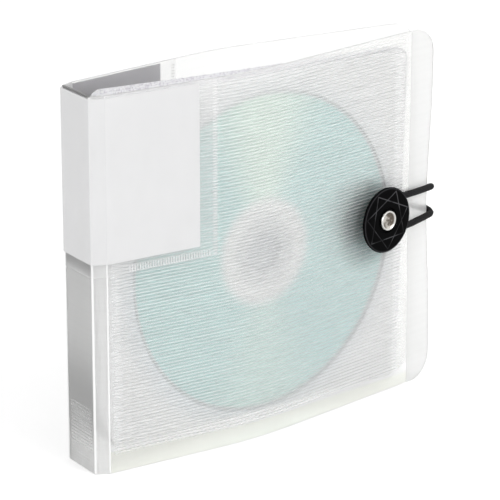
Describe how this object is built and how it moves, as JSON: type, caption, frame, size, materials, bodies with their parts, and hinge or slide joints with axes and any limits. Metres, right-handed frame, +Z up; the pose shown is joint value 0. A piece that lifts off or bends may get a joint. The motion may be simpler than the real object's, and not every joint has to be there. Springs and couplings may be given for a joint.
{
  "type": "cd storage case",
  "caption": "Ribbed translucent folding disc wallet with a spine label pocket, bound pocket leaves holding a disc, and a round button fastened by an elastic loop.",
  "frame": {"origin": "middle of the spine sheet's lower edge", "axes": "+X from the spine to the fore-edge, -Y out of the front cover, +Z up"},
  "size_m": [0.1617, 0.0357, 0.138],
  "materials": {
    "front_panel": "frosted, ribbed outside",
    "spine_panel": "frosted, ribbed outside",
    "back_panel": "frosted, ribbed outside",
    "pocket_film_front": "clear and glossy",
    "pocket_film_spine": "clear and glossy",
    "pocket_film_back": "clear and glossy",
    "label_front": "plain pale grey, dark inner side",
    "label_spine": "plain pale grey, dark inner side",
    "label_back": "plain pale grey, dark inner side",
    "pages": "soft translucent film",
    "disc": "mirror-like recording side",
    "button": "black, satin",
    "rivet": "polished",
    "button_washer": "black",
    "loop_patch": "beige backing",
    "loop_clip": "dark",
    "elastic_loop": "woven black elastic"
  },
  "bodies": {
    "spine": {"spine_panel": "spine_panel", "pocket_film_spine": "pocket_film_spine", "label_spine": "label_spine", "pages": "pages", "disc": "disc"},
    "front_cover": {"front_panel": "front_panel", "pocket_film_front": "pocket_film_front", "label_front": "label_front", "button": "button", "rivet": "rivet", "button_washer": "button_washer"},
    "back_cover": {"back_panel": "back_panel", "pocket_film_back": "pocket_film_back", "label_back": "label_back", "loop_clip": "loop_clip", "loop_patch": "loop_patch", "elastic_loop": "elastic_loop"}
  },
  "joints": [
    {"name": "front_cover_hinge", "type": "hinge", "parent": "spine", "child": "front_cover", "pos_m": [-0.0004, -0.00925, 0], "axis": [0, 0, -1], "range_deg": [0, 90], "deforming": ["elastic_loop"]},
    {"name": "back_cover_hinge", "type": "hinge", "parent": "spine", "child": "back_cover", "pos_m": [-0.0004, 0.00925, 0], "axis": [0, 0, 1], "range_deg": [0, 90]}
  ]
}
